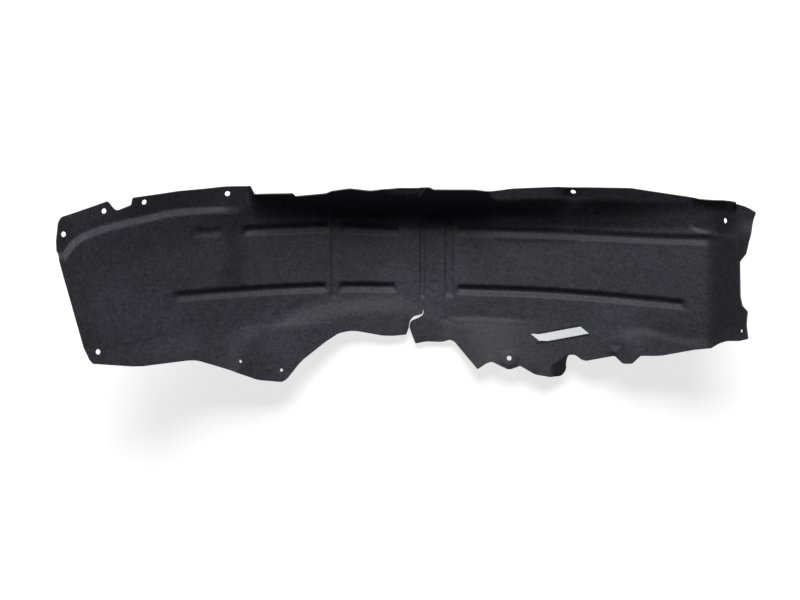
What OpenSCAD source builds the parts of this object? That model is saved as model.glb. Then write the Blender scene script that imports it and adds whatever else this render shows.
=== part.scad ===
// Wheel arch liner, lying on its crown with the wheel side up.
// One sheet is formed over the arch and then trimmed, as the real one is: a smooth form is
// worked out as a height over the plan, given its thickness, cut to the outline, and drilled.
// Plan x runs along the arch, front end at minus x. Plan y runs across it, inner wall at plus y.
// Places are measured from the crown, from the front end or from the rear end, in millimetres.

/* [Arch] */
// Plan distance from the crown to the front end
front_reach = 508; // [480:4:560]
// Plan distance from the crown to the rear end
rear_reach = 448; // [424:4:500]
// Inside radius of the arch in front of the crown
front_r = 640; // [560:10:800]
// Inside radius of the arch behind the crown
rear_r = 800; // [650:10:1000]
// Steepest slope of the front leg, degrees
front_slope = 42; // [30:1:48]
// Steepest slope of the rear leg, degrees
rear_slope = 24; // [15:1:32]
// Slope of the turned-up rear end, degrees
return_slope = 62; // [40:1:66]
// Plan length of the turned-up rear end
return_l = 48; // [36:1:60]
// Bow of the beads in plan, as a radius
bow_r = 4000; // [3000:100:9000]

/* [Sheet] */
// Thickness of the formed sheet
sheet_t = 2; // [1.5:0.25:3]
// Half-width in plan of the bend at the foot of the inner wall
foot_r = 13; // [10:0.5:14]
// Half-width in plan of the bend at the crease of the outer flange
fold_r = 8; // [6:0.5:9]
// From the centreline to the inner wall
wall_y = 62; // [61:0.5:70]
// From the centreline to the crease of the outer flange, behind the slit
crease_y = 93; // [90:1:100]

/* [Beads and ribs] */
// Distance between the two lines of beads
bead_gap = 90; // [84:1:94]
// Width of a bead
bead_w = 19; // [16:0.5:20]
// Depth of a bead
bead_depth = 5.5; // [3:0.25:6.5]
// Length over which a bead runs out at its end
bead_runout = 9; // [7:1:14]
// Depth of the two cross ribs at the crown
rib_depth = 2; // [1:0.25:3]
// Distance from the crown to the rib in front of it
front_rib_x = 14; // [10:1:16]
// Distance from the crown to the rib behind it
rear_rib_x = 29; // [26:1:34]

/* [Front flange] */
// Depth of the step down to the front flange
step_depth = 11; // [6:0.5:12]
// Width of that step
step_w = 13; // [12:0.5:18]

/* [Clips] */
// Diameter of the clip holes
clip_d = 8; // [6:0.5:10]
// Diameter of the small holes in the front lobe and the rear end
small_hole_d = 5; // [3.5:0.5:7]
// Diameter of the raised seat round the clip hole of the outer flange
seat_d = 28; // [20:1:30]
// Height of that seat
seat_h = 1.5; // [0.5:0.25:2.5]

/* [Label] */
// Thickness of the blank paper label
label_t = 0.25; // [0.15:0.05:0.5]
// Length of the label
label_l = 73; // [50:1:76]

/* [Hidden] */

EPS = 0.05;
MARGIN = 7;
MESH_STEP = 26;
LINE_GAP = 3.9;
ARC_STEP = 24;
HEM_SPAN = 12;
SHEET_BOX_Z = 600;
DRAWN_FRONT = 508;
DRAWN_REAR = 448;
label_gap = 0.3;
half_gap = bead_gap / 2;
fold_x = rear_reach - return_l;

// Plan places along the arch were drawn for the two reaches above, and stretch with them.
function along(x) = x * (x < 0 ? front_reach / DRAWN_FRONT : rear_reach / DRAWN_REAR);
function from_front(d) = along(d - DRAWN_FRONT);
function from_rear(d) = along(DRAWN_REAR - d);

// A straight rise that starts at zero with a round bend of half-width r.
function ramp(t, r) = t <= -r ? 0 : t >= r ? t : pow(t + r, 2) / (4 * r);

// From 0 to 1 with level ends.
function ease(t) = let (u = min(1, max(0, t))) u * u * (3 - 2 * u);

// A rounded step down of the given width, centred where t is zero.
function step(t, w) = ease(t / w + 0.5);

// A round hollow or ridge of height 1 and full width w.
function swell(t, w) = abs(t) >= w / 2 ? 0 : pow(cos(180 * t / w), 2);

// A smooth curve through points [x, y] in order of x, level beyond its ends.
function tangent(p, i) = let (a = max(0, i - 1), b = min(len(p) - 1, i + 1))
    (p[b][1] - p[a][1]) / (p[b][0] - p[a][0]);
function glide(x, p) = let (
    i = max([0, for (k = [1:len(p) - 2]) if (x > p[k][0]) k]),
    w = p[i + 1][0] - p[i][0],
    t = min(1, max(0, (x - p[i][0]) / w)),
    t2 = t * t,
    t3 = t2 * t
) (2 * t3 - 3 * t2 + 1) * p[i][1] + (t3 - 2 * t2 + t) * w * tangent(p, i)
    + (3 * t2 - 2 * t3) * p[i + 1][1] + (t3 - t2) * w * tangent(p, i + 1);

// The arch: a round crown with straight legs, and the turned-up rear end, which leans back at
// its lower corner.
function leg(d, r, a) = let (bend = r * sin(a))
    d < bend ? r - sqrt(r * r - d * d) : r * (1 - cos(a)) + (d - bend) * tan(a);
function arch(x, y) = x < 0 ? leg(-x, front_r, front_slope) : leg(x, rear_r, rear_slope)
    + (tan(return_slope) - tan(rear_slope)) * ramp(x - fold_x, fold_r)
    - (tan(return_slope) - 1) * ramp(x - from_rear(27), 4) * ease((y + 30) / 40);

// The centreline bows in plan, and the beads follow it.
function spine(x) = -x * x / (2 * bow_r);
function upper_bead(x) = spine(x) + half_gap + glide(x, [
    [from_front(164), 0.5], [along(-207), 0.7], [along(-149), 1.5], [along(-44), -6], [along(89), -6.2],
    [from_rear(134), -7.3], [from_rear(48), -4.2]]);
function lower_bead(x) = spine(x) - half_gap + glide(x, [
    [from_front(139), 1.6], [along(-149), 2.2], [along(37), -3.5], [along(176), -5.2],
    [from_rear(79), -10]]);

// Where each bead starts and ends along its line, and how deep it is against the full depth.
upper_runs = [
    [from_front(164), from_front(208), 0.45], [from_front(230), along(-149), 0.9],
    [along(-136), along(-43), 0.7], [along(37), along(220), 0.8], [along(205), from_rear(48), 1]];
lower_runs = [
    [from_front(139), along(-151), 1], [along(-139), along(-48), 1], [along(37), from_rear(79), 1]];
function run_on(x, runs) = max([for (r = runs)
    r[2] * ease((x - r[0]) / bead_runout) * ease((r[1] - x) / bead_runout)]);

// Cross ribs: centre, width, depth, and the y at which each one starts and ends.
RIB_EDGE = 4;
ribs = [
    [-front_rib_x, 7, rib_depth, -half_gap - 20, wall_y - 6],
    [rear_rib_x, 12, rib_depth, -half_gap - 18, wall_y - 6],
    [along(-144), 7, 0.9, -half_gap - 20, wall_y + 16],
    [from_rear(239), 7, 0.6, -half_gap - 4, half_gap - 12]];
function rib_cut(x, y) = max([for (r = ribs)
    r[2] * step(r[1] / 2 - abs(x - r[0]), RIB_EDGE) * ease((y - r[3]) / 9) * ease((r[4] - y) / 9)]);

// The step down to the front flange follows this line, and fades where the inner wall starts.
wall_start = from_front(253);
function step_line(x) = glide(x, [
    [from_front(10), wall_y - 68], [from_front(24), wall_y - 48], [from_front(53), wall_y - 31],
    [from_front(98), wall_y - 13], [from_front(146), wall_y], [from_front(195), wall_y + 5],
    [from_front(238), wall_y + 7]]);
function step_cut(x, y) = let (bend = (step_line(x + 1) - step_line(x - 1)) / 2)
    step_depth * step((y - step_line(x)) / sqrt(1 + bend * bend), step_w)
    * ease((wall_start - 8 - x) / 45);

// The shoulder rises from the upper beads, the flange beyond the step rises further, and the
// inner wall is steepest over the crown. A strip is turned out along its top.
function shoulder_line(x) = wall_y + glide(x, [
    [from_front(13), -100], [from_front(103), -64], [from_front(195), -31], [from_front(226), -22],
    [wall_start + 5, -16], [along(-100), -18], [along(60), -18], [from_rear(200), -20],
    [from_rear(125), -24]]);
function shoulder_grade(x) = glide(x, [
    [from_front(13), 0.08], [from_front(103), 0.18], [from_front(195), 0.35], [from_front(226), 0.45],
    [wall_start + 40, 0.52], [along(-100), 0.6], [along(60), 0.6], [from_rear(200), 0.56],
    [from_rear(125), 0.42], [from_rear(65), 0.32]]);
function flange_grade(x) = glide(x, [
    [from_front(10), 0.1], [from_front(53), 0.14], [from_front(98), 0.34], [from_front(146), 0.28],
    [from_front(195), 0.04], [from_front(238), -0.1], [wall_start + 5, 0]]);
function wall_grade(x) = glide(x, [
    [wall_start - 10, 0], [wall_start + 12, 1], [along(-160), 1.55], [along(-60), 1.7],
    [along(60), 1.6], [along(140), 1.5], [from_rear(225), 1.3], [from_rear(155), 0.85],
    [from_rear(105), 0.5], [from_rear(45), 0.2]]);
function side_grade(x) = glide(x, [
    [along(-60), 0.6], [along(-5), 0.6], [along(90), 0.42], [along(165), 0.42], [along(230), 0.56]]);
function strip_line(x) = wall_y + glide(x, [
    [along(-80), 38], [along(-60), 27], [along(-16), 27], [along(-6), 40], [along(50), 42],
    [along(76), 32], [along(92), 19], [along(160), 19], [from_rear(204), 16], [from_rear(149), 14],
    [from_rear(65), 12]]);
foot_y = wall_y + 6;
function inner_wall(x, y) = shoulder_grade(x) * ramp(y - shoulder_line(x), 5)
    + flange_grade(x) * ramp(y - step_line(x) - 6, 5)
    + wall_grade(x) * ramp(y - foot_y, foot_r)
    - max(0, wall_grade(x) + shoulder_grade(x) - side_grade(x)) * ramp(y - strip_line(x), 4);

// The outer flange rises from its crease, and levels out to pads in front of the crown.
function crease_line(x) = -crease_y + glide(x, [
    [from_front(3), -52], [from_front(67), -39], [from_front(111), -27], [from_front(170), -12],
    [from_front(209), -25], [from_front(244), -14], [from_front(279), -6], [along(-177), 20],
    [along(-111), 30], [along(-45), 32], [along(-10), 18], [along(29), 2], [along(75), 0],
    [along(146), -4], [from_rear(239), -8], [rear_reach, -24]]);
function crease_grade(x) = glide(x, [
    [from_front(3), 0.1], [from_front(170), 0.16], [from_front(243), 0.22], [along(-177), 0.3],
    [along(-45), 0.3], [along(-10), 0.2], [along(29), 0.2], [along(60), 0.27], [along(105), 0.27],
    [along(146), 0.15], [along(190), 0.08], [rear_reach, 0.06]]);
function pad_line(x) = -crease_y + glide(x, [
    [from_front(243), -32], [from_front(268), -18], [along(-184), -9], [along(-148), 1],
    [along(-110), 8], [along(-60), 10], [along(-10), 0], [along(20), -6]]);
function outer_flange(x, y) = crease_grade(x) * (ramp(crease_line(x) - y, fold_r)
    - 0.85 * ease((x - from_front(228)) / 20) * ease((along(30) - x) / 25)
    * ramp(pad_line(x) - y, 8));

// Low steps along the outer flange: one at its crease, one near its edge behind it.
function crease_step(x, y) = 1.4 * step(crease_line(x) - y, 7)
    * ease((x - along(15)) / 30) * ease((along(160) - x) / 50);
function rear_step_line(x) = -crease_y + glide(x, [
    [from_rear(181), -27], [from_rear(156), -18], [from_rear(134), -19], [from_rear(83), -32],
    [from_rear(45), -32]]);
function rear_step(x, y) = 2.6 * step(rear_step_line(x) - y, 8)
    * ease((x - from_rear(191)) / 24) * ease((from_rear(25) - x) / 50);

// Dents, and mounds where the depth is negative: x, y, half-widths along x and y, depth.
dents = [
    [from_rear(243), wall_y + 24, 14, 12, 9], [along(23), -crease_y - 2, 6, 5, 2],
    [from_rear(161), -crease_y - 35, 24, 13, -3], [from_rear(182), -crease_y - 43, 5, 4, -1.5]];
function dent_cut(x, y) = [for (d = dents)
    d[4] * exp(-pow((x - d[0]) / d[2], 2) - pow((y - d[1]) / d[3], 2))] * [for (d = dents) 1];

// The corner of the large lobe is folded over along a slanting line.
function lobe_fold(x, y) = 0.75 * ramp(0.554 * (x - along(182)) - 0.833 * (y + crease_y + 67), 2)
    * ease((x - along(177)) / 7) * ease((along(208) - x) / 6);

// A flat recess in the rear inner corner, and the lip that closes that corner.
function corner_line(x) = wall_y + glide(x, [
    [from_rear(83), -16], [from_rear(73), -19], [from_rear(54), -25], [from_rear(36), -32],
    [from_rear(20), -36]]);
function corner_cut(x, y) = 3.5 * step(y - corner_line(x), 7)
    * ease((x - from_rear(91)) / 24) * ease((from_rear(15) - x) / 14);
function lip_line(x) = wall_y + glide(x, [
    [from_rear(69), 20], [from_rear(55), 12], [from_rear(41), 3], [from_rear(25), -7]]);
function corner_lip(x, y) = 1.4 * ease((x - from_rear(75)) / 10) * ease((from_rear(23) - x) / 6)
    * ramp(y - lip_line(x), 3);

// Height of the wheel side of the sheet over the plan.
function form(x, y) = arch(x, y) + inner_wall(x, y) + outer_flange(x, y) + rear_step(x, y)
    + crease_step(x, y) + corner_lip(x, y)
    - corner_cut(x, y) - dent_cut(x, y) - step_cut(x, y) - rib_cut(x, y) - lobe_fold(x, y)
    - bead_depth * run_on(x, upper_runs) * swell(y - upper_bead(x), bead_w)
    - bead_depth * run_on(x, lower_runs) * swell(y - lower_bead(x), bead_w);
function on_form(x, y) = [x, y, form(x, y)];
function unit(v) = v / norm(v);
function form_normal(x, y) = unit(cross(
    on_form(x + EPS, y) - on_form(x - EPS, y), on_form(x, y + EPS) - on_form(x, y - EPS)));

// The trimmed edge, corner by corner: x, y and the radius of the corner.
inner_edge = [
    [from_front(4), wall_y - 70, 4], [from_front(0), wall_y - 61, 5], [from_front(0), wall_y - 47, 12],
    [from_front(3), wall_y - 23, 10], [from_front(6.5), wall_y - 15.5, 6],
    [from_front(21), wall_y - 9, 20], [from_front(61.5), wall_y + 9.5, 3],
    [from_front(70), wall_y - 2.5, 3], [from_front(73), wall_y - 2.2, 3],
    [from_front(88.5), wall_y + 5.5, 2], [from_front(91), wall_y + 15.3, 3],
    [from_front(149), wall_y + 27.8, 80], [from_front(210), wall_y + 36.8, 80],
    [from_front(248), wall_y + 38.3, 2.5], [from_front(253.5), wall_y + 26.4, 3],
    [along(-199.5), wall_y + 28, 3], [along(-197), wall_y + 24.4, 2], [along(-152), wall_y + 28.6, 10],
    [along(-144), wall_y + 31.7, 10], [along(-118), wall_y + 35, 20], [along(-88), wall_y + 32.3, 30],
    [along(-46), wall_y + 37, 40], [along(-2), wall_y + 37, 5], [along(4), wall_y + 34.3, 5],
    [along(62), wall_y + 34, 20], [along(81), wall_y + 31.8, 15], [along(119), wall_y + 36.5, 40],
    [along(184), wall_y + 37.9, 80], [from_rear(161), wall_y + 34.6, 40],
    [from_rear(35), wall_y + 13, 30], [from_rear(10), wall_y + 2, 30], [from_rear(0), wall_y - 5.8, 2]];
rear_edge = [
    [from_rear(9), 18, 40], [from_rear(12), -1, 6], [from_rear(18), -11.5, 6],
    [from_rear(17.5), -60, 30], [from_rear(15.5), -73, 8], [from_rear(10.5), -80.6, 4],
    [from_rear(11.7), -99, 20], [from_rear(10), -crease_y - 26, 2.5]];
outer_edge = [
    [from_rear(19), -crease_y - 29.4, 10], [from_rear(31.5), -crease_y - 30, 12],
    [from_rear(39), -crease_y - 34, 8], [from_rear(48), -crease_y - 41.2, 8],
    [from_rear(69), -crease_y - 43.4, 20], [from_rear(116), -crease_y - 53.2, 40],
    [from_rear(142.5), -crease_y - 53.8, 8], [from_rear(161.5), -crease_y - 68, 11],
    [from_rear(180.5), -crease_y - 54.6, 8], [from_rear(218), -crease_y - 62, 8],
    [from_rear(225.5), -crease_y - 60, 8], [from_rear(234), -crease_y - 53.2, 6],
    [from_rear(244), -crease_y - 53.2, 3.5], [along(201.5), -crease_y - 77.5, 8],
    [along(196.5), -crease_y - 85.5, 9], [along(180), -crease_y - 86.8, 20],
    [along(155.5), -crease_y - 82.8, 20], [along(133.5), -crease_y - 70, 3],
    [along(116), -crease_y - 76, 12], [along(91.5), -crease_y - 63.7, 8],
    [along(84), -crease_y - 66, 10], [along(70), -crease_y - 75, 1.5], [along(36), -crease_y - 34, 10],
    [along(29.5), -crease_y - 31.6, 8], [along(18.5), -crease_y - 34.8, 20],
    [along(-7), -crease_y - 34.2, 20], [along(-22), -crease_y - 37.2, 1.5],
    [along(-27.5), -crease_y - 23, 10], [along(-30.9), -crease_y - 13, 5],
    [along(-28.3), -crease_y - 3.6, 5], [along(-18), -crease_y + 1.3, 8],
    [along(-11.6), -crease_y + 6.3, 4], [along(-8.4), -crease_y + 11, 2],
    [along(-9.4), -crease_y + 15, 1.2], [along(-13.8), -crease_y + 7.8, 3],
    [along(-25), -crease_y + 3.9, 6], [along(-29.9), -crease_y - 0.8, 5],
    [along(-32.4), -crease_y - 12.5, 4], [along(-35.7), -crease_y - 23.8, 1.5],
    [along(-55), -crease_y - 25.6, 20], [along(-71), -crease_y - 25.2, 30],
    [along(-109.5), -crease_y - 18.3, 30], [along(-121), -crease_y - 18.1, 30],
    [along(-136), -crease_y - 21.4, 20], [along(-155), -crease_y - 33.8, 40],
    [along(-191), -crease_y - 62.6, 40], [along(-210.5), -crease_y - 87.6, 10],
    [along(-218), -crease_y - 92.8, 8], [along(-253), -crease_y - 89.2, 40],
    [from_front(216.5), -crease_y - 73.5, 80], [from_front(173), -crease_y - 58.8, 30],
    [from_front(161), -crease_y - 58.4, 30], [from_front(97), -crease_y - 65.6, 60],
    [from_front(43), -crease_y - 59.4, 3], [from_front(39), -crease_y - 54, 6]];
front_edge = [
    [from_front(32), -crease_y - 36.6, 10], [from_front(9), -32, 60]];
outline = concat(inner_edge, rear_edge, outer_edge, front_edge);

// Each corner becomes an arc that touches both of its sides.
function corner(a, b, c) = let (
    p = [b[0], b[1]],
    u = unit([a[0], a[1]] - p),
    v = unit([c[0], c[1]] - p),
    half = acos(min(1, max(-1, u * v))) / 2,
    room = 0.49 * min(norm([a[0], a[1]] - p), norm([c[0], c[1]] - p)),
    reach = min(room, b[2] / tan(half)),
    hub = p + unit(u + v) * (reach / cos(half)),
    from = p + u * reach - hub,
    to = p + v * reach - hub,
    sweep = atan2(from[0] * to[1] - from[1] * to[0], from * to),
    steps = max(1, ceil(abs(sweep) / ARC_STEP))
) reach < 0.2 || half > 88 ? [p]
    : [for (k = [0:steps]) let (w = sweep * k / steps)
        hub + [from[0] * cos(w) - from[1] * sin(w), from[0] * sin(w) + from[1] * cos(w)]];
function rounded(p) = let (n = len(p))
    [for (i = [0:n - 1]) each corner(p[(i + n - 1) % n], p[i], p[(i + 1) % n])];
trim = rounded(outline);

// The part is centred over the middle of its own plan box.
middle = [
    (min([for (p = trim) p[0]]) + max([for (p = trim) p[0]])) / 2,
    (min([for (p = trim) p[1]]) + max([for (p = trim) p[1]])) / 2];

// The sheet before trimming reaches a little past the edge at every x.
function hem(x, edge, side) = side * MARGIN + (side > 0
    ? max([for (d = [-HEM_SPAN:HEM_SPAN:HEM_SPAN]) lookup(x + d, edge)])
    : min([for (d = [-HEM_SPAN:HEM_SPAN:HEM_SPAN]) lookup(x + d, edge)]));
inner_hem = [for (p = inner_edge) [p[0], p[1]]];
outer_hem = [for (p = outer_edge) [p[0], p[1]]];

// Lines of the mesh across the sheet: some at every fold and bead, the rest spread between.
function spread(a, b, n) = [for (k = [1:n - 1]) a + (b - a) * k / n];
function around(c, half, n) = [for (k = [-n:n]) c + half * k / n];
function lines_at(x) = let (
    fold = x < wall_start ? min(step_line(x), foot_y) : foot_y,
    bend = x < wall_start ? step_w / 2 + 2 : foot_r,
    low = hem(x, outer_hem, -1),
    high = max(hem(x, inner_hem, 1), fold + bend + 9),
    top = min(high - 6, max(fold + bend + 2, strip_line(x))),
    upper = min(upper_bead(x), fold - bend - bead_w / 2 - 1),
    lower = min(lower_bead(x), upper - bead_w - 4),
    crease = min(crease_line(x), lower - bead_w / 2 - fold_r - 5),
    base = max(crease, low + fold_r + 2)
) concat(
    [low], spread(low, base - fold_r, 5), around(base, fold_r, 2),
    spread(base + fold_r, lower - bead_w / 2, 3), around(lower, bead_w / 2, 3),
    spread(lower + bead_w / 2, upper - bead_w / 2, 3), around(upper, bead_w / 2, 3),
    around(fold, bend, 2), spread(fold + bend, top, 2), [top], spread(top, high, 3), [high]);

// Lines of the mesh along the sheet: at what starts, ends or bends, with the gaps filled.
function sorted(v) = len(v) < 2 ? v : let (m = v[floor(len(v) / 2)]) concat(
    sorted([for (a = v) if (a < m) a]), [m], sorted([for (a = v) if (a > m) a]));
function thinned(v) = [for (i = [0:len(v) - 1]) if (i == 0 || v[i] - v[i - 1] > LINE_GAP) v[i]];
function filled(v) = [for (i = [0:len(v) - 2]) each let (n = ceil((v[i + 1] - v[i]) / MESH_STEP))
    [for (k = [0:n - 1]) v[i] + (v[i + 1] - v[i]) * k / n]];
run_ends = [for (r = concat(upper_runs, lower_runs))
    each [r[0], r[0] + bead_runout, r[1] - bead_runout, r[1]]];
rib_lines = [for (r = ribs) for (side = [-1, 1]) for (edge = [-1, 1])
    r[0] + side * (r[1] + edge * RIB_EDGE) / 2];
folds = [wall_start - 8, wall_start + 12, fold_x - fold_r, fold_x, fold_x + fold_r, from_rear(31),
    from_rear(23)];
ends = [from_front(-MARGIN), from_front(14), along(82), rear_reach + MARGIN];
keys = thinned(sorted(concat(run_ends, rib_lines, folds, ends)));
stations = concat(filled(keys), [keys[len(keys) - 1]]);

// The sheet: both faces of the form, closed all round.
upper_face = [for (x = stations) for (y = lines_at(x)) on_form(x, y)];
rows = len(stations);
cols = len(lines_at(0));
function at(i, j) = upper_face[min(rows - 1, max(0, i)) * cols + min(cols - 1, max(0, j))];
lower_face = [for (i = [0:rows - 1]) for (j = [0:cols - 1])
    at(i, j) - sheet_t * unit(cross(at(i + 1, j) - at(i - 1, j), at(i, j + 1) - at(i, j - 1)))];
function quad(a, b, c, d) = [[a, b, d], [b, c, d]];

// Faces of a closed slab with m by n points on each side, the upper side first.
function slab_faces(m, n) = let (low = m * n) concat(
    [for (i = [0:m - 2]) for (j = [0:n - 2]) let (k = i * n + j)
        each quad(k, k + 1, k + n + 1, k + n)],
    [for (i = [0:m - 2]) for (j = [0:n - 2]) let (k = low + i * n + j)
        each quad(k, k + n, k + n + 1, k + 1)],
    [for (i = [0:m - 2]) let (k = i * n) each quad(k, k + n, low + k + n, low + k)],
    [for (i = [0:m - 2]) let (k = i * n + n - 1) each quad(k + n, k, low + k, low + k + n)],
    [for (j = [0:n - 2]) each quad(j + 1, j, low + j, low + j + 1)],
    [for (j = [0:n - 2]) let (k = (m - 1) * n + j) each quad(k, k + 1, low + k + 1, low + k)]);

// The lowest point of the sheet stands on the ground.
lift = -min([for (p = lower_face) p[2]]);

// The raised round seat: x and y.
seat = [along(117), -crease_y - 58.5];

// Clip holes: x, y and diameter.
clip_holes = [
    [from_front(10), wall_y - 38.5, clip_d], [from_front(57), wall_y - 5, clip_d],
    [from_front(106), wall_y + 9.5, clip_d], [from_front(214.5), wall_y + 26, clip_d],
    [from_front(50), -crease_y - 43, clip_d], [from_front(232), -crease_y - 61, small_hole_d],
    [along(-219), -crease_y - 75, small_hole_d], [along(117), -crease_y - 58, clip_d],
    [from_rear(241), wall_y + 30, clip_d], [from_rear(34), wall_y - 15, clip_d],
    [from_rear(18), -108, small_hole_d]];

module along_normal(x, y) {
    n = form_normal(x, y);
    translate(on_form(x, y))
        rotate([0, acos(n[2]), atan2(n[1], n[0])])
            children();
}

module liner() color("#26272b") translate([-middle[0], -middle[1], lift]) difference() {
    intersection() {
        union() {
            polyhedron(concat(upper_face, lower_face), slab_faces(rows, cols));
            along_normal(seat[0], seat[1])
                translate([0, 0, -sheet_t / 2])
                    cylinder(d = seat_d, h = seat_h + sheet_t / 2, $fn = 48);
        }
        translate([0, 0, -SHEET_BOX_Z / 2])
            linear_extrude(height = 2 * SHEET_BOX_Z)
                polygon(trim);
    }
    for (h = clip_holes)
        along_normal(h[0], h[1])
            translate([0, 0, -MARGIN])
                cylinder(d = h[2], h = 2 * MARGIN, $fn = 32);
}

// The label is a skewed strip of paper that follows the outer flange, wider at its front end.
label_at = [along(150), -crease_y - 25.3];
label_side = [12, -10];
label_dir = unit([71.7, 13.9]);
label_cols = 12;
label_rows = 2;
function label_point(i, j, off) = let (
    far = label_l * i / label_cols,
    q = label_at + label_dir * far + label_side * j / label_rows + [0, 2.6 * ease(1 - far / 14)]
) on_form(q[0], q[1]) + form_normal(q[0], q[1]) * off;
label_points = [for (off = [label_gap + label_t, label_gap]) for (i = [0:label_cols])
    for (j = [0:label_rows]) label_point(i, label_rows - j, off)];

module part_label() color("#f2f3f5") translate([-middle[0], -middle[1], lift])
    polyhedron(label_points, slab_faces(label_cols + 1, label_rows + 1));

liner();
part_label();
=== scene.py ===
"""A wheel arch liner lying on its crown on a pale floor, seen from straight above.

The formed sheet and its label are built here at a fine pitch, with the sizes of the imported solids.
Some curves follow the photo more closely than the solids do. They differ by up to 7 mm along the
top of the inner wall, and by less elsewhere. Sizes and plan places are in millimetres from the
crown, and the meshes are in metres.
"""
import math

import bpy
import numpy as np
from mathutils import Matrix, Vector
from mathutils.geometry import delaunay_2d_cdt


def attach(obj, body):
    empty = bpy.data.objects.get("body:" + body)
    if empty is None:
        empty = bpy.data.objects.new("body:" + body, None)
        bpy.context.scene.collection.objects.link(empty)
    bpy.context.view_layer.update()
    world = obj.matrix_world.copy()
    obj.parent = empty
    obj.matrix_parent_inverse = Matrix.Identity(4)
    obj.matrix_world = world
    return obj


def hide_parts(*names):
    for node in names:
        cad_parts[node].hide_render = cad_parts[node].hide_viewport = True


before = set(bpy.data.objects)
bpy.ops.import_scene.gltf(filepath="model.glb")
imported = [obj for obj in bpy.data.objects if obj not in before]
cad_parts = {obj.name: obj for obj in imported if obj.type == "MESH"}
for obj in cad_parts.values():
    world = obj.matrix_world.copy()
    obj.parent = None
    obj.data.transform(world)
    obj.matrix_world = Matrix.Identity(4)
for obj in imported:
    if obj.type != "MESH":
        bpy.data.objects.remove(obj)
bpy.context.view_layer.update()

MM = 0.001

# Sizes of the liner, as in the part apart from the place of the front rib
FRONT_REACH = 508
REAR_REACH = 448
FRONT_R = 640
REAR_R = 800
FRONT_SLOPE = math.radians(42)
REAR_SLOPE = math.radians(24)
RETURN_SLOPE = math.radians(62)
RETURN_L = 48
BOW_R = 4000
SHEET_T = 2
FOLD_R = 8
FOOT_R = 13
WALL_Y = 62
CREASE_Y = 93
BEAD_GAP = 90
BEAD_W = 19
BEAD_DEPTH = 5.5
BEAD_RUNOUT = 9
RIB_DEPTH = 2
FRONT_RIB_X = 11.5
REAR_RIB_X = 29
STEP_DEPTH = 11
STEP_W = 13
CLIP_D = 8
SMALL_HOLE_D = 5
SEAT_D = 28
SEAT_H = 1.5
LABEL_T = 0.25
LABEL_L = 73
LABEL_GAP = 0.3
HALF_GAP = BEAD_GAP / 2

# How finely the sheet is drawn
PITCH = 2.35
ROW_PITCH = PITCH * 0.87
EDGE_GAP = PITCH * 0.55
EDGE_PITCH = 2.0
HOLE_SIDES = 28
ARC_STEP_DEGREES = 15

# How far the rim stands out from the edge, and how far it lies below each face
RIM = 0.3
RIM_DROP = 0.45

# The underside's slopes are taken over this length each way, so that bends don't fold it
UNDERSIDE_E = 1.5


def from_front(d):
    return d - FRONT_REACH


def from_rear(d):
    return REAR_REACH - d


# Small functions that the form is made of, each for arrays
def ramp(t, r):
    """A straight rise that starts at zero with a round bend of half-width r."""
    return np.where(t <= -r, 0, np.where(t >= r, t, (t + r) ** 2 / (4 * r)))


def ease(t):
    """From 0 to 1 with level ends."""
    u = np.clip(t, 0, 1)
    return u * u * (3 - 2 * u)


def between(x, start, end, rise, fall):
    """1 between two places, easing in after the start and out before the end."""
    return ease((x - start) / rise) * ease((end - x) / fall)


def step(t, height, width):
    """A step up at t = 0, spread evenly over its width."""
    return height * ease(t / width + 0.5)


def swell(t, w):
    """A round hollow or ridge of height 1 and full width w."""
    return np.where(np.abs(t) >= w / 2, 0, np.cos(np.pi * t / w) ** 2)


def glide(x, points):
    """A smooth curve through the points, level beyond its ends."""
    px, py = np.array(points, float).T
    slope = np.gradient(py)
    slope[1:-1] = (py[2:] - py[:-2]) / (px[2:] - px[:-2])
    slope[0] = (py[1] - py[0]) / (px[1] - px[0])
    slope[-1] = (py[-1] - py[-2]) / (px[-1] - px[-2])
    i = np.clip(np.searchsorted(px, x, side="left") - 1, 0, len(px) - 2)
    w = px[i + 1] - px[i]
    t = np.clip((x - px[i]) / w, 0, 1)
    return ((2 * t ** 3 - 3 * t ** 2 + 1) * py[i] + (t ** 3 - 2 * t ** 2 + t) * w * slope[i]
            + (3 * t ** 2 - 2 * t ** 3) * py[i + 1] + (t ** 3 - t ** 2) * w * slope[i + 1])


# The form of the sheet
def leg(d, r, slope):
    """The height at a distance from the crown: an arc that runs out into a straight slope."""
    d = np.maximum(d, 0)
    bend = r * math.sin(slope)
    on_arc = np.minimum(d, bend)
    return r - np.sqrt(r * r - on_arc * on_arc) + (d - on_arc) * math.tan(slope)


# The tab at the upper corner of the turned-up end, which is less steep than the rest
TAB_FOLD_X = from_rear(27)
TAB_FOLD_R = 4
TAB_GRADE = 1
TAB_Y = 20
TAB_FADE = 30


def arch(x, y):
    """Both legs, with the turned-up end and its tab."""
    rear_grade = math.tan(REAR_SLOPE)
    end_grade = math.tan(RETURN_SLOPE)
    tab = ease((y - TAB_Y) / TAB_FADE)
    rear = (leg(x, REAR_R, REAR_SLOPE)
            + (end_grade - rear_grade) * ramp(x - from_rear(RETURN_L), FOLD_R)
            - (end_grade - TAB_GRADE) * ramp(x - TAB_FOLD_X, TAB_FOLD_R) * tab)
    return np.where(x < 0, leg(-x, FRONT_R, FRONT_SLOPE), rear)


def spine(x):
    """The slow bow in plan that both beads follow."""
    return -x * x / (2 * BOW_R)


def upper_bead(x):
    return spine(x) + HALF_GAP + glide(x, [
        (from_front(164), 0.5), (-207, 0.7), (-149, 1.5), (-44, -6), (89, -6.2),
        (from_rear(134), -7.3), (from_rear(48), -4.2)])


def lower_bead(x):
    return spine(x) - HALF_GAP + glide(x, [
        (from_front(139), 1.6), (-149, 2.2), (37, -3.5), (176, -5.2), (from_rear(79), -10)])


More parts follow.
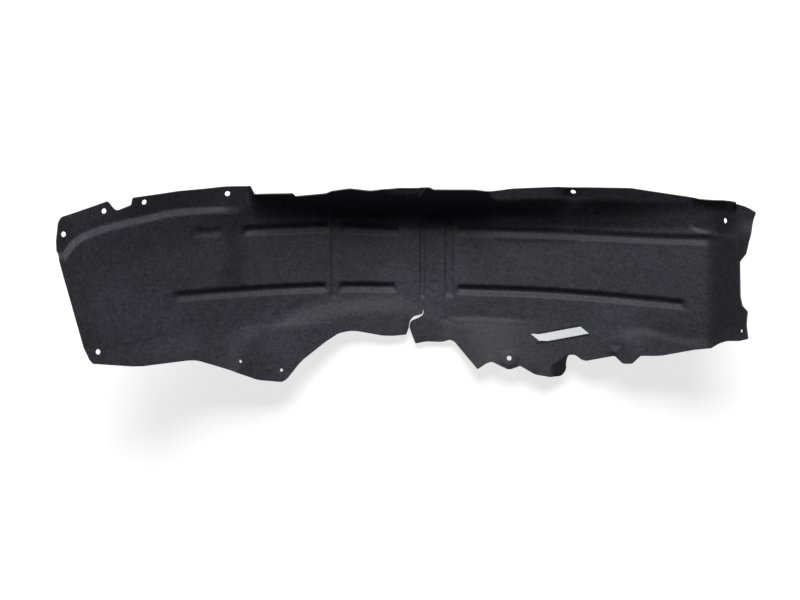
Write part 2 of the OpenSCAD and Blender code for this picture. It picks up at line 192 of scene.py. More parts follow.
# The stretches where each bead is pressed: from, to and share of the full depth
UPPER_RUNS = [
    (from_front(164), from_front(208), 0.45), (from_front(230), -149, 0.9),
    (-136, -43, 0.7), (37, 220, 0.55), (205, from_rear(42), 0.8)]
LOWER_RUNS = [(from_front(139), -151, 1), (-139, -48, 1), (37, from_rear(79), 1)]


def run_on(x, runs):
    """The share of the bead's depth at x."""
    parts = [share * between(x, start, end, BEAD_RUNOUT, BEAD_RUNOUT)
             for start, end, share in runs]
    return np.max(parts, axis=0)


# The cross ribs: place, width, depth and the two ends
RIBS = [
    (-FRONT_RIB_X, 7, RIB_DEPTH, -HALF_GAP - 20, WALL_Y - 6),
    (REAR_RIB_X, 12, RIB_DEPTH, -HALF_GAP - 18, WALL_Y - 6),
    (-144, 7, 1.6, -HALF_GAP - 20, WALL_Y + 16),
    (from_rear(239), 7, 0.6, -HALF_GAP - 4, HALF_GAP - 12)]

# The width of a rib's sloping side, and the length over which its ends run out
RIB_SIDE_W = 2.6
RIB_RUNOUT = 9


def rib_cut(x, y):
    parts = [step(width / 2 - np.abs(x - at), depth, RIB_SIDE_W)
             * between(y, low, high, RIB_RUNOUT, RIB_RUNOUT)
             for at, width, depth, low, high in RIBS]
    return np.max(parts, axis=0)


# Where the inner wall begins, and where the front step has faded out before it
WALL_START = from_front(253)
STEP_END = WALL_START - 8
STEP_FADE = 65


def step_line(x):
    """The middle of the front flange's step."""
    return glide(x, [
        (from_front(10), WALL_Y - 68), (from_front(24), WALL_Y - 48), (from_front(53), WALL_Y - 31),
        (from_front(98), WALL_Y - 16), (from_front(146), WALL_Y - 3), (from_front(195), WALL_Y + 2),
        (from_front(238), WALL_Y + 4)])


def step_cut(x, y):
    bend = (step_line(x + 1) - step_line(x - 1)) / 2
    across = (y - step_line(x)) / np.sqrt(1 + bend * bend)
    return step(across, STEP_DEPTH, STEP_W) * ease((STEP_END - x) / STEP_FADE)


def shoulder_line(x):
    """Where the sheet starts to rise gently towards the wall or the flange."""
    return WALL_Y + glide(x, [
        (from_front(13), -100), (from_front(103), -64), (from_front(195), -31),
        (from_front(226), -22), (WALL_START + 5, -16), (-100, -18), (60, -18),
        (from_rear(200), -20), (from_rear(125), -24)])


def shoulder_grade(x):
    return glide(x, [
        (from_front(13), 0.08), (from_front(103), 0.18), (from_front(195), 0.35),
        (from_front(226), 0.45), (WALL_START + 40, 0.52), (-100, 0.6), (60, 0.6),
        (from_rear(200), 0.56), (from_rear(125), 0.42), (from_rear(65), 0.32)])


def flange_grade(x):
    return glide(x, [
        (from_front(10), 0.1), (from_front(53), 0.14), (from_front(98), 0.34),
        (from_front(146), 0.28), (from_front(195), 0.04), (from_front(238), -0.1),
        (WALL_START + 5, 0)])


def wall_grade(x):
    return glide(x, [
        (WALL_START - 10, 0), (WALL_START + 12, 1), (-160, 1.36), (-60, 1.47), (60, 1.42),
        (140, 1.5), (from_rear(225), 1.5), (from_rear(155), 1.1), (from_rear(105), 0.7),
        (from_rear(45), 0.3)])


def side_grade(x):
    """The grade of the flatter strip along the wall's top."""
    return glide(x, [(-60, 0.6), (-5, 0.6), (90, 0.42), (165, 0.42), (230, 0.56)])


def strip_line(x):
    return WALL_Y + glide(x, [
        (-80, 38), (-60, 27), (-16, 27), (-6, 40), (50, 42), (76, 32), (92, 19), (160, 19),
        (from_rear(204), 16), (from_rear(149), 14), (from_rear(65), 12)])


# The wall's foot, the gap from the step to the flange's bend, and the half-widths of two bends
FOOT_Y = WALL_Y + 6
FLANGE_GAP = 6
FLANGE_R = 5
STRIP_R = 4


def inner_wall(x, y):
    """The shoulder, the front flange, the wall and the strip along the wall's top."""
    grade = wall_grade(x)
    shoulder = shoulder_grade(x)
    shoulder_r = glide(x, [(from_front(195), 22), (WALL_START + 40, 5)])
    flattening = np.maximum(0, grade + shoulder - side_grade(x))
    return (shoulder * ramp(y - shoulder_line(x), shoulder_r)
            + flange_grade(x) * ramp(y - step_line(x) - FLANGE_GAP, FLANGE_R)
            + grade * ramp(y - FOOT_Y, FOOT_R)
            - flattening * ramp(y - strip_line(x), STRIP_R))


def crease_line(x):
    """Where the outer flange folds up from the arch."""
    return -CREASE_Y + glide(x, [
        (from_front(3), -52), (from_front(67), -39), (from_front(111), -27),
        (from_front(170), -12), (from_front(209), -25), (from_front(244), -14),
        (from_front(279), -6), (-177, 20), (-111, 30), (-45, 32),
        (-10, 18), (29, 2), (75, 0), (146, -4), (from_rear(239), -8), (REAR_REACH, -24)])


def crease_grade(x):
    return glide(x, [
        (from_front(3), 0.1), (from_front(170), 0.16), (from_front(243), 0.22), (-177, 0.3),
        (-45, 0.3), (-10, 0.2), (29, 0.2), (60, 0.27), (105, 0.27), (146, 0.15),
        (190, 0.08), (REAR_REACH, 0.06)])


def crease_step(x, y):
    """A low step up to the outer flange, along the crease between the crown and the label."""
    return (step(crease_line(x) - y, height=1.4, width=7)
            * between(x, 15, 160, rise=30, fall=50))


# The bend to the flatter part of the outer flange, and the share of the grade it takes away
PAD_R = 8
PAD_SHARE = 0.85


def pad_line(x):
    """Where the outer flange flattens out again, from the front lobe to past the slit."""
    return -CREASE_Y + glide(x, [
        (from_front(243), -32), (from_front(268), -18), (-184, -9), (-148, 1), (-110, 8),
        (-60, 10), (-10, 0), (20, -6)])


def outer_flange(x, y):
    """The flange that rises from the crease."""
    grade = crease_grade(x)
    pad = between(x, from_front(228), 30, rise=20, fall=25) * ramp(pad_line(x) - y, PAD_R)
    return grade * ramp(crease_line(x) - y, FOLD_R) - PAD_SHARE * grade * pad


def rear_step(x, y):
    """The step beyond which the rear of the outer flange stands higher."""
    line = -CREASE_Y + glide(x, [
        (from_rear(181), -27), (from_rear(156), -18), (from_rear(134), -19),
        (from_rear(83), -32), (from_rear(45), -32)])
    return (step(line - y, height=2.4, width=15)
            * between(x, from_rear(191), from_rear(25), rise=24, fall=50))


# Hollows, and mounds with a depth below zero: x, y, two reaches and the depth
DENTS = [
    (from_rear(243), WALL_Y + 24, 14, 12, 9),
    (23, -CREASE_Y - 1, 6, 4, 1),
    (from_rear(161), -CREASE_Y - 35, 24, 13, -3),
    (from_rear(181), -CREASE_Y - 47, 6, 4, -1.8)]


def dent_cut(x, y):
    return sum(depth * np.exp(-((x - at_x) / rx) ** 2 - ((y - at_y) / ry) ** 2)
               for at_x, at_y, rx, ry, depth in DENTS)


# The turned-down corner of the lobe: a place on its fold, the way across it and its grade
LOBE_FOLD_X = 182
LOBE_FOLD_Y = -CREASE_Y - 67
LOBE_ACROSS = (0.554, -0.833)
LOBE_FOLD_R = 2
LOBE_GRADE = 0.75


def lobe_fold(x, y):
    beyond = LOBE_ACROSS[0] * (x - LOBE_FOLD_X) + LOBE_ACROSS[1] * (y - LOBE_FOLD_Y)
    return LOBE_GRADE * ramp(beyond, LOBE_FOLD_R) * between(x, 177, 208, rise=7, fall=6)


def corner_cut(x, y):
    """The recess of the rear upper corner."""
    line = WALL_Y + glide(x, [
        (from_rear(81), -17), (from_rear(74), -22), (from_rear(66), -26.5), (from_rear(51), -30),
        (from_rear(36), -35), (from_rear(20), -39)])
    return (step(y - line, height=3.5, width=8)
            * between(x, from_rear(82), from_rear(15), rise=18, fall=14))


LIP_GRADE = 1.4
LIP_R = 3


def corner_lip(x, y):
    """The steep edge round the far side of the recess."""
    line = WALL_Y + glide(x, [
        (from_rear(69), 20), (from_rear(55), 12), (from_rear(41), 3), (from_rear(25), -7)])
    return (LIP_GRADE * ramp(y - line, LIP_R)
            * between(x, from_rear(75), from_rear(23), rise=10, fall=6))


# The raised seat: its middle, its shape in plan and the width of its sloping side
SEAT_X = 117
SEAT_Y = -CREASE_Y - 59
SEAT_SQUASH = 1.15
SEAT_FOOT = 3
SEAT_SIDE_W = 8


def seat_rise(x, y):
    away = np.hypot(x - SEAT_X, (y - SEAT_Y) * SEAT_SQUASH)
    return SEAT_H * ease((SEAT_D / 2 + SEAT_FOOT - away) / SEAT_SIDE_W)


def form(x, y):
    """Height of the wheel side of the sheet over the plan."""
    return (arch(x, y) + inner_wall(x, y) + outer_flange(x, y) + rear_step(x, y)
            + crease_step(x, y) + corner_lip(x, y) + seat_rise(x, y)
            - corner_cut(x, y) - dent_cut(x, y) - step_cut(x, y) - rib_cut(x, y)
            - lobe_fold(x, y)
            - BEAD_DEPTH * run_on(x, UPPER_RUNS) * swell(y - upper_bead(x), BEAD_W)
            - BEAD_DEPTH * run_on(x, LOWER_RUNS) * swell(y - lower_bead(x), BEAD_W))


def form_normal(x, y, e=0.05):
    """The upward direction square to the form, from slopes taken over e on each side."""
    slope_x = (form(x + e, y) - form(x - e, y)) / (2 * e)
    slope_y = (form(x, y + e) - form(x, y - e)) / (2 * e)
    n = np.stack([-slope_x, -slope_y, np.ones_like(slope_x)], axis=-1)
    return n / np.linalg.norm(n, axis=-1, keepdims=True)


# The trimmed edge, corner by corner: x, y and the radius of the corner
INNER_EDGE = [
    (from_front(4), WALL_Y - 70, 4), (from_front(0), WALL_Y - 61, 5),
    (from_front(0), WALL_Y - 47, 12), (from_front(3), WALL_Y - 23, 10),
    (from_front(6.5), WALL_Y - 15.5, 6), (from_front(21), WALL_Y - 9, 20),
    (from_front(61.5), WALL_Y + 9.5, 3), (from_front(70), WALL_Y - 2.5, 3),
    (from_front(73), WALL_Y - 2.2, 3), (from_front(88.5), WALL_Y + 5.5, 2),
    (from_front(91), WALL_Y + 15.3, 3),
    (from_front(149), WALL_Y + 27.8, 80), (from_front(210), WALL_Y + 36.8, 80),
    (from_front(248), WALL_Y + 38.3, 2.5), (from_front(253.5), WALL_Y + 26.4, 3),
    (-199.5, WALL_Y + 28, 3), (-197, WALL_Y + 24.4, 2), (-152, WALL_Y + 28.6, 10),
    (-144, WALL_Y + 31.7, 10), (-118, WALL_Y + 35, 20), (-88, WALL_Y + 32.3, 30),
    (-46, WALL_Y + 37, 40), (-2, WALL_Y + 37, 5), (4, WALL_Y + 34.3, 5),
    (62, WALL_Y + 34, 20), (81, WALL_Y + 31.8, 15), (119, WALL_Y + 36.5, 40),
    (184, WALL_Y + 37.9, 80), (from_rear(161), WALL_Y + 34.6, 40),
    (from_rear(35), WALL_Y + 13, 30), (from_rear(10), WALL_Y + 2, 30),
    (from_rear(0), WALL_Y - 5.8, 2)]
REAR_EDGE = [
    (from_rear(9), 18, 40), (from_rear(12), -1, 6), (from_rear(18), -11.5, 6),
    (from_rear(17.5), -60, 30), (from_rear(15.5), -73, 8), (from_rear(10.5), -80.6, 4),
    (from_rear(11.7), -99, 20), (from_rear(10), -CREASE_Y - 26, 2.5)]
OUTER_EDGE = [
    (from_rear(19), -CREASE_Y - 29.4, 10), (from_rear(31.5), -CREASE_Y - 30, 12),
    (from_rear(39), -CREASE_Y - 34, 8), (from_rear(48), -CREASE_Y - 41.2, 8),
    (from_rear(69), -CREASE_Y - 43.4, 20), (from_rear(116), -CREASE_Y - 53.2, 40),
    (from_rear(142.5), -CREASE_Y - 53.5, 5), (from_rear(154), -CREASE_Y - 65.3, 7),
    (from_rear(167.5), -CREASE_Y - 65.3, 7), (from_rear(178.5), -CREASE_Y - 54, 5),
    (from_rear(218), -CREASE_Y - 62, 8), (from_rear(225.5), -CREASE_Y - 60, 8),
    (from_rear(234), -CREASE_Y - 53.2, 6), (from_rear(244), -CREASE_Y - 53.2, 3.5),
    (201.5, -CREASE_Y - 77.5, 8),
    (196.5, -CREASE_Y - 85.5, 9), (180, -CREASE_Y - 86.8, 20), (155.5, -CREASE_Y - 82.8, 20),
    (133.5, -CREASE_Y - 70, 3), (116, -CREASE_Y - 76, 12), (91.5, -CREASE_Y - 63.7, 8),
    (84, -CREASE_Y - 66, 10), (70, -CREASE_Y - 75, 1.5), (36, -CREASE_Y - 34, 10),
    (29.5, -CREASE_Y - 31.6, 8), (18.5, -CREASE_Y - 34.8, 20), (-7, -CREASE_Y - 34.2, 20),
    (-22, -CREASE_Y - 37.2, 1.5), (-27.5, -CREASE_Y - 23, 10), (-30.8, -CREASE_Y - 13.5, 4),
    (-30.7, -CREASE_Y - 8.5, 3), (-29.3, -CREASE_Y - 4.5, 3), (-26.6, -CREASE_Y - 2.2, 4),
    (-17.5, -CREASE_Y + 1.6, 8), (-11.2, -CREASE_Y + 5.6, 3), (-9.9, -CREASE_Y + 9, 3),
    (-10.1, -CREASE_Y + 15.5, 0.2), (-10.9, -CREASE_Y + 9.2, 2), (-12.5, -CREASE_Y + 6.6, 2),
    (-24.8, -CREASE_Y + 3.4, 6), (-29.6, -CREASE_Y - 2.5, 4), (-31.2, -CREASE_Y - 8, 4),
    (-31.6, -CREASE_Y - 13.5, 4), (-35.7, -CREASE_Y - 23.8, 1.5),
    (-55, -CREASE_Y - 25.6, 20), (-71, -CREASE_Y - 25.2, 30),
    (-109.5, -CREASE_Y - 18.3, 30), (-121, -CREASE_Y - 18.1, 30), (-136, -CREASE_Y - 21.4, 20),
    (-155, -CREASE_Y - 33.8, 40), (-191, -CREASE_Y - 62.6, 40), (-210.5, -CREASE_Y - 87.6, 10),
    (-218, -CREASE_Y - 92.8, 8), (-253, -CREASE_Y - 89.2, 40),
    (from_front(216.5), -CREASE_Y - 73.5, 80), (from_front(173), -CREASE_Y - 58.8, 30),
    (from_front(161), -CREASE_Y - 58.4, 30), (from_front(97), -CREASE_Y - 65.6, 60),
    (from_front(43), -CREASE_Y - 59.4, 3), (from_front(39), -CREASE_Y - 54, 6)]
FRONT_EDGE = [(from_front(32), -CREASE_Y - 36.6, 10), (from_front(9), -32, 60)]

# The clip holes: x, y and diameter
CLIP_HOLES = [
    (from_front(10), WALL_Y - 38.5, CLIP_D), (from_front(57), WALL_Y - 5, CLIP_D),
    (from_front(106), WALL_Y + 9.5, CLIP_D), (from_front(214.5), WALL_Y + 26, CLIP_D),
    (from_front(50), -CREASE_Y - 43, CLIP_D), (from_front(232), -CREASE_Y - 61, SMALL_HOLE_D),
    (-219, -CREASE_Y - 75, SMALL_HOLE_D), (117, -CREASE_Y - 58, CLIP_D),
    (from_rear(241), WALL_Y + 30, CLIP_D), (from_rear(34), WALL_Y - 15, CLIP_D),
    (from_rear(18), -108, SMALL_HOLE_D)]


# An arc takes up less than half of a side. Where it would be tiny, or the corner is nearly
# straight, the corner keeps its point
SIDE_SHARE = 0.49
LEAST_REACH = 0.2
STRAIGHT = math.radians(88)


def rounded(corners):
    """The closed outline with each corner turned into an arc that touches both sides."""
    points = []
    count = len(corners)
    for i, (x, y, r) in enumerate(corners):
        here = np.array([x, y])
        before = np.array(corners[i - 1][:2])
        after = np.array(corners[(i + 1) % count][:2])
        u = (before - here) / np.linalg.norm(before - here)
        v = (after - here) / np.linalg.norm(after - here)
        half = math.acos(max(-1, min(1, float(u @ v)))) / 2
        room = SIDE_SHARE * min(np.linalg.norm(before - here), np.linalg.norm(after - here))
        reach = min(room, r / math.tan(half))
        if reach < LEAST_REACH or half > STRAIGHT:
            points.append(here)
            continue
        hub = here + (u + v) / np.linalg.norm(u + v) * reach / math.cos(half)
        start = here + u * reach - hub
        end = here + v * reach - hub
        sweep = math.atan2(start[0] * end[1] - start[1] * end[0], start @ end)
        steps = max(1, math.ceil(abs(math.degrees(sweep)) / ARC_STEP_DEGREES))
        for k in range(steps + 1):
            w = sweep * k / steps
            turn = np.array([[math.cos(w), -math.sin(w)], [math.sin(w), math.cos(w)]])
            points.append(hub + turn @ start)
    return np.array(points)


def resampled(loop, pitch):
    """The closed loop with every side cut into pieces no longer than the pitch."""
    out = []
    for a, b in zip(loop, np.roll(loop, -1, axis=0)):
        n = max(1, math.ceil(np.linalg.norm(b - a) / pitch))
        out += [a + (b - a) * k / n for k in range(n)]
    return np.array(out)


def loop_sides(loop):
    """Unit directions in plan that point outwards from an anticlockwise loop."""
    along = np.roll(loop, -1, axis=0) - np.roll(loop, 1, axis=0)
    along /= np.linalg.norm(along, axis=1, keepdims=True)
    return np.stack([along[:, 1], -along[:, 0]], axis=1)


def signed_area(loop):
    """The loop's area, above zero where it runs anticlockwise."""
    x, y = loop.T
    return 0.5 * np.sum(x * np.roll(y, -1) - y * np.roll(x, -1))


def inside(points, loop):
    """Which points lie inside the loop."""
    x, y = points.T
    hit = np.zeros(len(points), bool)
    for (ax, ay), (bx, by) in zip(loop, np.roll(loop, -1, axis=0)):
        if ay == by:
            continue
        crosses = (ay > y) != (by > y)
        hit ^= crosses & (x < (bx - ax) * (y - ay) / (by - ay) + ax)
    return hit


def hole_loop(x, y, d):
    """A round hole square to the sheet, as it looks in plan."""
    n = form_normal(np.array([x]), np.array([y]))[0]
    e1 = np.cross(n, [0, 1, 0])
    e1 /= np.linalg.norm(e1)
    e2 = np.cross(n, e1)
    angles = np.arange(HOLE_SIDES) * 2 * math.pi / HOLE_SIDES
    ring = np.outer(np.cos(angles), e1) + np.outer(np.sin(angles), e2)
    return np.array([x, y]) + ring[:, :2] * d / 2


TRIM = rounded(INNER_EDGE + REAR_EDGE + OUTER_EDGE + FRONT_EDGE)
MIDDLE = (TRIM.min(0) + TRIM.max(0)) / 2


def trimmed_loops():
    """The outer loop and the hole loops of the wheel side, anticlockwise in plan."""
    outer = resampled(TRIM, EDGE_PITCH)
    if signed_area(outer) < 0:
        outer = outer[::-1]
    sides = loop_sides(outer)
    lean = form_normal(*outer.T)[:, :2]
    # Where the face leans in, the underside reaches further out, so the face's edge is drawn in
    leans_in = np.sum(lean * sides, axis=1, keepdims=True) < 0
    outer = outer + lean * SHEET_T * leans_in - sides * RIM
    holes = []
    for x, y, d in CLIP_HOLES:
        loop = hole_loop(x, y, d)
        holes.append(loop if signed_area(loop) > 0 else loop[::-1])
    return outer, holes


def on_sheet(points, outer, holes):
    """Which points lie inside the outer loop and in no hole."""
    hit = inside(points, outer)
    for hole in holes:
        hit &= ~inside(points, hole)
    return hit


def near_loops(points, loops, gap):
    """Which points lie closer to a loop's points than the gap."""
    batch = 60
    near = np.zeros(len(points), bool)
    for loop in loops:
        for start in range(0, len(loop), batch):
            part = loop[start:start + batch]
            low, high = part.min(0) - gap, part.max(0) + gap
            close = np.nonzero(np.all((points > low) & (points < high), axis=1))[0]
            away = points[close][:, None, :] - part[None, :, :]
            near[close[np.min(np.hypot(away[..., 0], away[..., 1]), axis=1) < gap]] = True
    return near


def grid_points(outer, holes):
    """A staggered grid of points on the sheet, clear of its edges."""
    low, high = outer.min(0), outer.max(0)
    ys = np.arange(low[1], high[1], ROW_PITCH)
    xs = np.arange(low[0], high[0], PITCH)
    grid = np.array([(x + (PITCH / 2 if j % 2 else 0), y) for j, y in enumerate(ys) for x in xs])
    grid = grid[on_sheet(grid, outer, holes)]
    return grid[~near_loops(grid, [outer] + holes, EDGE_GAP)]


def loop_edges(loops):
    """The pairs of point numbers that close each loop, counted through all loops."""
    edges = []
    start = 0
    for loop in loops:
        n = len(loop)
        edges += [(start + k, start + (k + 1) % n) for k in range(n)]
        start += n
    return edges


def triangulated(outer, holes):
    """The plan points, loops first, and the sheet's triangles, which face up."""
    loops = [outer] + holes
    points = [Vector(p) for p in np.concatenate(loops + [grid_points(outer, holes)])]
    triangles_inside = 1
    epsilon = 1e-6
    made = delaunay_2d_cdt(points, loop_edges(loops), [], triangles_inside, epsilon, False)
    plan = np.array([v[:] for v in made[0]])
    faces = np.array([f[:] for f in made[2]])
    faces = faces[on_sheet(plan[faces].mean(axis=1), outer, holes)]
    a, b, c = plan[faces[:, 0]], plan[faces[:, 1]], plan[faces[:, 2]]
    turn = (b - a)[:, 0] * (c - a)[:, 1] - (b - a)[:, 1] * (c - a)[:, 0]
    faces[turn < 0] = faces[turn < 0][:, ::-1]
    return plan, faces


def rims(loops, top, bottom, normals):
    """Rounded rims between the two sides: two rings of points a loop, and their faces."""
    rings = []
    quads = []
    start = 0
    total = 2 * len(top)
    for k, loop in enumerate(loops):
        n = len(loop)
        ids = np.arange(start, start + n)
        start += n
        side = loop_sides(loop) * (1 if k == 0 else -1)
        out = np.column_stack([side, np.zeros(n)])
        out -= normals[ids] * np.sum(out * normals[ids], axis=1, keepdims=True)
        out /= np.linalg.norm(out, axis=1, keepdims=True)
        rings.append(top[ids] + out * RIM - normals[ids] * RIM_DROP)
        rings.append(bottom[ids] + out * RIM + normals[ids] * RIM_DROP)
        rows = [ids, total + np.arange(n), total + n + np.arange(n), ids + len(top)]
        total += 2 * n
        for upper, lower in zip(rows, rows[1:]):
            quad = np.column_stack([upper, lower, np.roll(lower, -1), np.roll(upper, -1)])
            quads.append(quad if k == 0 else quad[:, ::-1])
    return rings, np.concatenate(quads)


def shade_by_form(mesh, triangles, normals):
    """Smooth shading, with the form's own normals on both sides of the sheet."""
    mesh.polygons.foreach_set("use_smooth", np.ones(len(mesh.polygons), bool))
    mesh.update()
    corner_vert = np.empty(len(mesh.loops), np.int32)
    mesh.loops.foreach_get("vertex_index", corner_vert)
    corner_normal = np.zeros((len(mesh.loops), 3))
    upper = slice(0, 3 * triangles)
    lower = slice(3 * triangles, 6 * triangles)
    corner_normal[upper] = normals[corner_vert[upper]]
    corner_normal[lower] = -normals[corner_vert[lower] - len(normals)]
    mesh.normals_split_custom_set(corner_normal.tolist())


def sheet_mesh(name):
    """The formed sheet with its rims, and the height of its lowest point."""
    outer, holes = trimmed_loops()
    plan, faces = triangulated(outer, holes)
    normals = form_normal(*plan.T)
    top = np.column_stack([plan, form(*plan.T)])
    bottom = top - form_normal(*plan.T, e=UNDERSIDE_E) * SHEET_T
    rings, quads = rims([outer] + holes, top, bottom, normals)
    verts = np.concatenate([top, bottom] + rings)
    verts[:, :2] -= MIDDLE
    sides = np.concatenate([faces, faces[:, ::-1] + len(top)])
    mesh = bpy.data.meshes.new(name)
    mesh.from_pydata((verts * MM).tolist(), [], sides.tolist() + quads.tolist())
    material = np.zeros(len(mesh.polygons), np.int32)
    material[len(sides):] = 1
    mesh.polygons.foreach_set("material_index", material)
    shade_by_form(mesh, len(faces), normals)
    return mesh, verts[:2 * len(top), 2].min()


def add_object(name, data):
    piece = bpy.data.objects.new(name, data)
    bpy.context.scene.collection.objects.link(piece)
    return piece


# Materials
class Nodes:
    """A short way to build the nodes of a material or a world."""

    def __init__(self, owner, shader="Principled BSDF"):
        owner.use_nodes = True
        self.tree = owner.node_tree
        self.shader = self.tree.nodes[shader]

    def feed(self, inputs, values):
        """Link each input to a socket, or set it to a plain value."""
        for key, value in values.items():
            if isinstance(value, bpy.types.NodeSocket):
                self.tree.links.new(value, inputs[key])
            else:
                inputs[key].default_value = value

    def dress(self, values):
        """Feed the shader."""
        self.feed(self.shader.inputs, values)

    def add(self, kind, values, **settings):
        """A new node with its settings, and its inputs fed."""
        node = self.tree.nodes.new(kind)
        for key, value in settings.items():
            setattr(node, key, value)
        self.feed(node.inputs, values)
        return node

    def place(self):
        """Where a point lies, in the object's own coordinates."""
        return self.add("ShaderNodeTexCoord", {}).outputs["Object"]

    def noise(self, place, scale, detail, roughness=0.5, output="Fac"):
        node = self.add("ShaderNodeTexNoise", {
            "Vector": place, "Scale": scale, "Detail": detail, "Roughness": roughness})
        return node.outputs[output]

    def span(self, value, low, high, from_low=0.0, from_high=1.0, **settings):
        """The value moved from one range into another."""
        node = self.add("ShaderNodeMapRange", {
            "Value": value, "From Min": from_low, "From Max": from_high,
            "To Min": low, "To Max": high}, **settings)
        return node.outputs["Result"]

    def mix(self, share, first, second):
        """A colour between two colours."""
        node = self.add("ShaderNodeMix", {0: share, 6: first, 7: second}, data_type="RGBA")
        return node.outputs[2]

    def vector(self, operation, first, second, output="Vector"):
        node = self.add("ShaderNodeVectorMath", {0: first, 1: second}, operation=operation)
        return node.outputs[output]

    def math(self, operation, first, second):
        node = self.add("ShaderNodeMath", {0: first, 1: second}, operation=operation)
        return node.outputs[0]

    def scaled(self, vector, share):
        node = self.add("ShaderNodeVectorMath", {0: vector, "Scale": share}, operation="SCALE")
        return node.outputs[0]

    def near_line(self, place, start, end, reach, tone):
        """The tone on a line in plan, and 1 beyond its reach."""
        run = end - start
        away = self.vector("SUBTRACT", place, start)
        share = self.span(
            self.vector("DOT_PRODUCT", away, run / run.length_squared, "Value"), 0, 1)
        gap = self.vector("DISTANCE", away, self.scaled(run, share), "Value")
        return self.span(gap, tone, 1, 0, reach, interpolation_type="SMOOTHSTEP")

    def bump(self, height, strength, distance, **below):
        """The normal of a bumpy surface, which may lie on the normal given as Normal."""
        node = self.add("ShaderNodeBump", {
            "Height": height, "Strength": strength, "Distance": distance, **below})
        return node.outputs["Normal"]


# Painted shade and painted highlights where the plastic is drawn darker or paler: from and to in
# plan, the reach and the tone
PAINTED_LIGHT_AREAS = [
    (-284, 31, -288, -36, 30, 0.6), (-247, 8, -142, -8, 50, 0.86), (33, 31, 42, -41, 40, 1.3),
    (-57, -29, 15, -65, 33, 1.28), (-442, -73, -378, -96, 56, 1.3),
    (-284, -109, -216, -89, 27, 1.3), (-253, -135, -221, -133, 27, 1.25),
    (412, 37, 411, -100, 29, 0.66), (433, 13, 432, -107, 23, 0.75), (250, -86, 289, -83, 30, 1.3),
    (338, -114, 404, -122, 29, 0.68), (48, -119, 68, -151, 27, 0.66), (184, 70, 233, 68, 14, 1.8),
    (386, 76, 410, 70, 18, 0.12), (-442, -145, -345, -126, 16, 1.12),
    (-485, 51, -344, 83, 19, 1.2), (282, -138, 304, -135, 12, 1.4),
    (265, -135, 270, -135, 9, 1.6), (-500, 16, -468, -126, 19, 0.88),
    (121, -172, 155, -172, 15, 0.65)]

# Narrow lines of painted light and shade, given as the areas are: a painted highlight on a small
# crease, painted shade and highlights along the beads and creases, and the label's painted shadow
# along its edges
PAINTED_LIGHT_LINES = [
    (-17, 86, -9, 97, 1.8, 8), (-46, -40, 16, -36, 2.2, 0.75), (105, 41, 193, 39, 4, 0.6),
    (102, 25, 214, 23, 9, 0.6), (250, 20, 372, 14, 8, 0.85), (-448, -131, -396, -118, 4, 0.8),
    (-396, -118, -345, -109, 4, 0.8), (-277, -106, -214, -100, 4, 1.25),
    (-214, -100, -149, -98, 4, 1.2), (159, -129.4, 232, -116, 3.6, 0.1),
    (158, -115.6, 221, -103.4, 2.8, 0.2)]


# How fine the uneven borders of the areas are, and how far they wander, in metres
RAGGED_SCALE = 35
RAGGED_REACH = 0.03


def on_plan(x, y):
    """A place in plan, in the object's own coordinates."""
    return Vector((x - MIDDLE[0], y - MIDDLE[1], 0)) * MM


def painted_light_and_shade(m, place):
    """Painted shade and painted highlights: the tone of the areas, which have uneven borders, and of
    the narrow lines.
    """
    flat = m.vector("MULTIPLY", place, Vector((1, 1, 0)))
    uneven = m.noise(flat, RAGGED_SCALE, 3, output="Color")
    drift = m.vector("SUBTRACT", uneven, Vector((0.5, 0.5, 0.5)))
    drift = m.vector("MULTIPLY", drift, Vector((RAGGED_REACH, RAGGED_REACH, 0)))
    ragged = m.vector("ADD", flat, drift)
    parts = [m.near_line(where, on_plan(x0, y0), on_plan(x1, y1), reach * MM, tone)
             for where, marks in ((ragged, PAINTED_LIGHT_AREAS), (flat, PAINTED_LIGHT_LINES))
             for x0, y0, x1, y1, reach, tone in marks]
    whole = parts[0]
    for part in parts[1:]:
        whole = m.math("MULTIPLY", whole, part)
    return whole


def new_material(name):
    material = bpy.data.materials.new(name)
    return material, Nodes(material)


def sheet_material():
    """Matt plastic with a pressed grain, and painted shade and painted highlights in places."""
    material, m = new_material("liner_plastic")
    place = m.place()
    grain = m.noise(place, 260, 3.0, 0.75)
    mottle = m.noise(place, 85, 4.0, 0.75)
    cloud = m.noise(place, 9, 3.0, 0.5)
    fine = m.mix(
        m.span(grain, 0, 1, 0.34, 0.66), (0.015, 0.014, 0.018, 1), (0.059, 0.057, 0.072, 1))
    broad = m.mix(
        m.span(mottle, 0, 1, 0.34, 0.66), (0.023, 0.022, 0.028, 1), (0.050, 0.048, 0.060, 1))
    mixed = m.mix(m.span(cloud, 0.3, 0.6, 0.3, 0.7), fine, broad)
    coarse_bump = m.bump(mottle, 0.6, 0.001)
    m.dress({
        # The base colour carries the painted shade and painted highlights
        "Base Color": m.scaled(mixed, painted_light_and_shade(m, place)),
        "Roughness": m.span(mottle, 0.5, 0.72),
        "Specular IOR Level": 0.3,
        "Normal": m.bump(grain, 0.8, 0.0005, Normal=coarse_bump)})
    return material


def rim_material():
    """The cut edge, a little paler than the faces."""
    material, m = new_material("cut_edge_plastic")
    grain = m.noise(m.place(), 700, 2.0, 0.6)
    m.dress({
        "Base Color": m.mix(grain, (0.05, 0.05, 0.055, 1), (0.09, 0.09, 0.095, 1)),
        "Roughness": m.span(grain, 0.55, 0.8),
        "Normal": m.bump(grain, 0.4, 0.0002)})
    return material


def paper_material():
    material, m = new_material("label_paper")
    place = m.place()
    fibre = m.noise(place, 900, 3.0, 0.6)
    cloud = m.noise(place, 60, 2.0, 0.5)
    m.dress({
        "Base Color": m.mix(
            m.span(cloud, 0, 1, 0.3, 0.7), (0.80, 0.81, 0.84, 1), (0.86, 0.87, 0.89, 1)),
        "Roughness": m.span(fibre, 0.55, 0.75),
        "Normal": m.bump(fibre, 0.3, 0.0001)})
    return material


